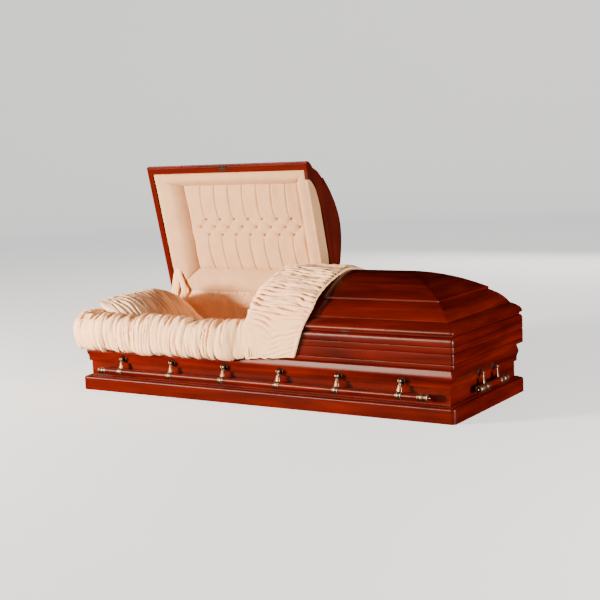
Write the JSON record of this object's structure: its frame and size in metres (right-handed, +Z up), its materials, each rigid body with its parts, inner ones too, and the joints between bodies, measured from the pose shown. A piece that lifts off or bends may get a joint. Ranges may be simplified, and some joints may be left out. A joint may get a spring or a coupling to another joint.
{
  "type": "funeral casket",
  "caption": "Half-couch hardwood casket with a hinged lid in two halves, velvet lining, pillow and overthrow, and swing-bar handles on all four sides.",
  "frame": {"origin": "centre of the underside, on the floor", "axes": "+X along the casket towards the foot end, +Y to the hinges, +Z up"},
  "size_m": [2.2132, 0.9797, 1.1337],
  "materials": {
    "polished_wood": "dark cherry stain under a polished clear finish",
    "plain_wood": "dark cherry stain, satin",
    "board": "raw plywood",
    "velvet": "matt beige velvet, shirred and tufted",
    "antique_metal": "antique copper, dark in the hollows",
    "hinge_metal": "brass-plated steel"
  },
  "bodies": {
    "root": {"bottom_board": "board", "base_moulding": "polished_wood", "side_front": "polished_wood", "side_back": "polished_wood", "end_head": "polished_wood", "end_foot": "polished_wood", "hinge_body_leaf": "hinge_metal", "mattress": "velvet", "body_lining": "velvet", "pillow": "velvet", "rim_roll_front": "velvet", "rim_roll_head": "velvet", "lug_front_1": "antique_metal", "lug_front_2": "antique_metal", "lug_front_3": "antique_metal", "lug_front_4": "antique_metal", "lug_front_5": "antique_metal", "lug_front_6": "antique_metal", "lug_back_1": "antique_metal", "lug_back_2": "antique_metal", "lug_back_3": "antique_metal", "lug_back_4": "antique_metal", "lug_back_5": "antique_metal", "lug_back_6": "antique_metal", "lug_head_1": "antique_metal", "lug_head_2": "antique_metal", "lug_foot_1": "antique_metal", "lug_foot_2": "antique_metal"},
    "head_lid": {"head_lid_rail": "polished_wood", "head_lid_crown": "polished_wood", "head_lid_header": "plain_wood", "head_lid_hinge_leaf": "hinge_metal", "head_lid_catch": "antique_metal", "head_lid_panel": "velvet"},
    "foot_lid": {"foot_lid_rail": "polished_wood", "foot_lid_crown": "polished_wood", "foot_lid_header": "plain_wood", "foot_lid_hinge_leaf": "hinge_metal", "foot_lid_catch": "antique_metal", "overthrow": "velvet"},
    "handle_front": {"bar_front": "polished_wood", "arm_front_1": "antique_metal", "arm_front_2": "antique_metal", "arm_front_3": "antique_metal", "arm_front_4": "antique_metal", "arm_front_5": "antique_metal", "arm_front_6": "antique_metal"},
    "handle_back": {"bar_back": "polished_wood", "arm_back_1": "antique_metal", "arm_back_2": "antique_metal", "arm_back_3": "antique_metal", "arm_back_4": "antique_metal", "arm_back_5": "antique_metal", "arm_back_6": "antique_metal"},
    "handle_head": {"bar_head": "polished_wood", "arm_head_1": "antique_metal", "arm_head_2": "antique_metal"},
    "handle_foot": {"bar_foot": "polished_wood", "arm_foot_1": "antique_metal", "arm_foot_2": "antique_metal"}
  },
  "joints": [
    {"name": "head_lid_hinge", "type": "hinge", "parent": "root", "child": "head_lid", "pos_m": [0, 0.383, 0.3795], "axis": [-1, 0, 0], "range_deg": [-76.9, 0], "deforming": ["rim_roll_front", "rim_roll_head", "pillow"]},
    {"name": "foot_lid_hinge", "type": "hinge", "parent": "root", "child": "foot_lid", "pos_m": [0, 0.383, 0.3795], "axis": [-1, 0, 0], "range_deg": [0, 76.9]},
    {"name": "handle_front_swing", "type": "hinge", "parent": "root", "child": "handle_front", "pos_m": [0, -0.382, 0.173], "axis": [-1, 0, 0], "range_deg": [0, 75]},
    {"name": "handle_back_swing", "type": "hinge", "parent": "root", "child": "handle_back", "pos_m": [0, 0.382, 0.173], "axis": [1, 0, 0], "range_deg": [0, 75]},
    {"name": "handle_head_swing", "type": "hinge", "parent": "root", "child": "handle_head", "pos_m": [-1.057, 0, 0.173], "axis": [0, 1, 0], "range_deg": [0, 75]},
    {"name": "handle_foot_swing", "type": "hinge", "parent": "root", "child": "handle_foot", "pos_m": [1.057, 0, 0.173], "axis": [0, -1, 0], "range_deg": [0, 75]}
  ]
}
